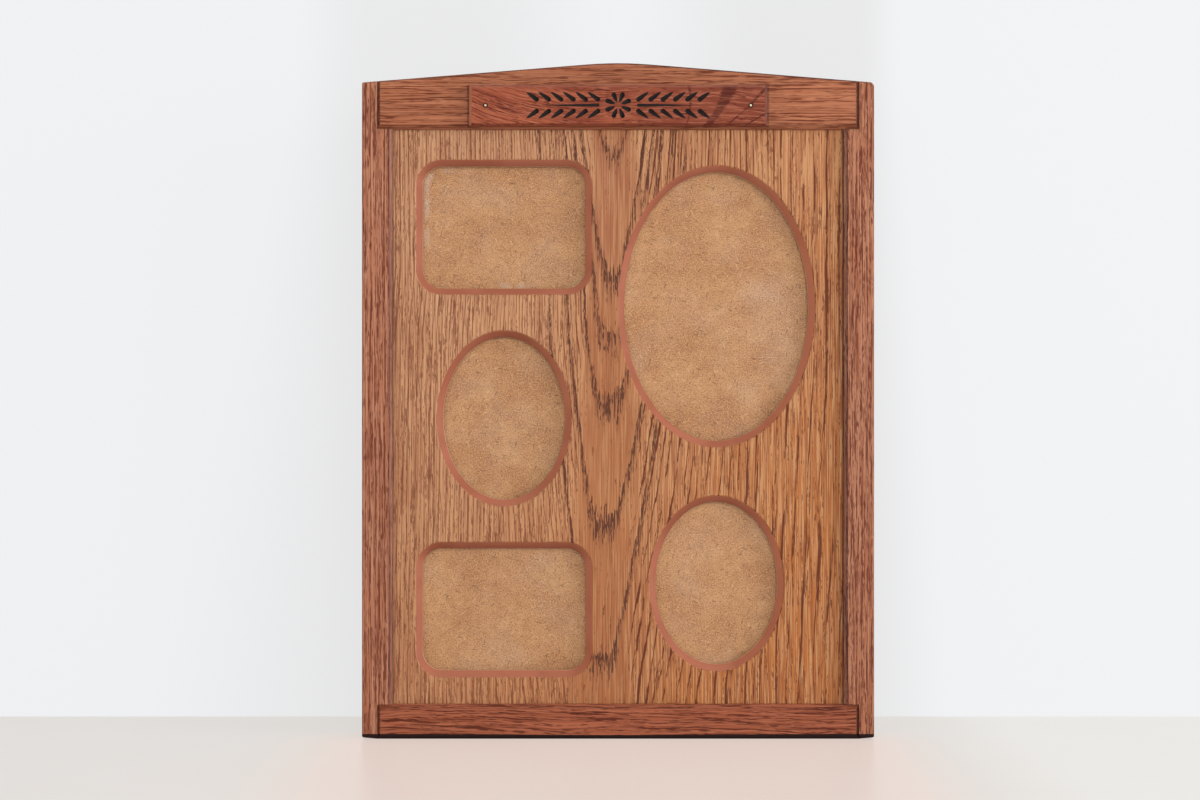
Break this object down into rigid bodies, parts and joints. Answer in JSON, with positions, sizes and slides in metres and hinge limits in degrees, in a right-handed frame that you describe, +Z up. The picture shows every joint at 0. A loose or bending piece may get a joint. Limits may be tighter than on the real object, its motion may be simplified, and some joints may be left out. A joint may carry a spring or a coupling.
{
  "type": "collage photo frame",
  "caption": "Wooden collage photo frame with a low gabled top, bevelled oblong and oval windows over glass, a carved plaque, and a backing board held by turn buttons.",
  "frame": {"origin": "middle of the foot of the frame, half way through the depth of the wood", "axes": "+X to the viewer's right, +Y from the front to the back, +Z up"},
  "size_m": [0.3174, 0.0276, 0.419],
  "materials": {
    "stained_oak": "oiled red-brown oak with open dark grain",
    "oak_veneer": "satin oak veneer with cathedral grain",
    "panel_core": "fine fibre core, stained red-brown on the bevels",
    "clear_glass": "clear float glass",
    "hardboard": "smooth tan hardboard with fine fibre specks",
    "plaque_wood": "red-brown oiled wood with blackened routed strokes",
    "brass": "small domed brass pin heads",
    "steel": "plain bright wire",
    "zinc_plate": "zinc-plated pressed steel"
  },
  "bodies": {
    "frame": {"left_stile": "stained_oak", "right_stile": "stained_oak", "bottom_rail": "stained_oak", "top_rail": "stained_oak", "panel_veneer": "oak_veneer", "panel_core": "panel_core", "glass_pane": "clear_glass", "backing_board": "hardboard", "plaque": "plaque_wood", "plaque_pins": "brass", "corner_brads": "steel", "hanger_plate": "zinc_plate", "hanger_nails": "steel", "turn_button_screws": "zinc_plate"},
    "button_left_upper": {"turn_button_left_upper": "zinc_plate"},
    "button_right_upper": {"turn_button_right_upper": "zinc_plate"},
    "button_left_lower": {"turn_button_left_lower": "zinc_plate"},
    "button_right_lower": {"turn_button_right_lower": "zinc_plate"},
    "button_top_left": {"turn_button_top_left": "zinc_plate"},
    "button_bottom_left": {"turn_button_bottom_left": "zinc_plate"},
    "button_top_right": {"turn_button_top_right": "zinc_plate"},
    "button_bottom_right": {"turn_button_bottom_right": "zinc_plate"}
  },
  "joints": [
    {"name": "turn_left_upper", "type": "hinge", "parent": "frame", "child": "button_left_upper", "pos_m": [-0.15399, 0.01038, 0.3083], "axis": [0, 1, 0], "continuous": true},
    {"name": "turn_right_upper", "type": "hinge", "parent": "frame", "child": "button_right_upper", "pos_m": [0.15399, 0.01038, 0.3083], "axis": [0, 1, 0], "continuous": true},
    {"name": "turn_left_lower", "type": "hinge", "parent": "frame", "child": "button_left_lower", "pos_m": [-0.15399, 0.01038, 0.0913], "axis": [0, 1, 0], "continuous": true},
    {"name": "turn_right_lower", "type": "hinge", "parent": "frame", "child": "button_right_lower", "pos_m": [0.15399, 0.01038, 0.0913], "axis": [0, 1, 0], "continuous": true},
    {"name": "turn_top_left", "type": "hinge", "parent": "frame", "child": "button_top_left", "pos_m": [-0.0697, 0.01038, 0.39259], "axis": [0, 1, 0], "continuous": true},
    {"name": "turn_bottom_left", "type": "hinge", "parent": "frame", "child": "button_bottom_left", "pos_m": [-0.0697, 0.01038, 0.00589], "axis": [0, 1, 0], "range_deg": [-90, 90]},
    {"name": "turn_top_right", "type": "hinge", "parent": "frame", "child": "button_top_right", "pos_m": [0.0697, 0.01038, 0.39259], "axis": [0, 1, 0], "continuous": true},
    {"name": "turn_bottom_right", "type": "hinge", "parent": "frame", "child": "button_bottom_right", "pos_m": [0.0697, 0.01038, 0.00589], "axis": [0, 1, 0], "range_deg": [-90, 90]}
  ]
}
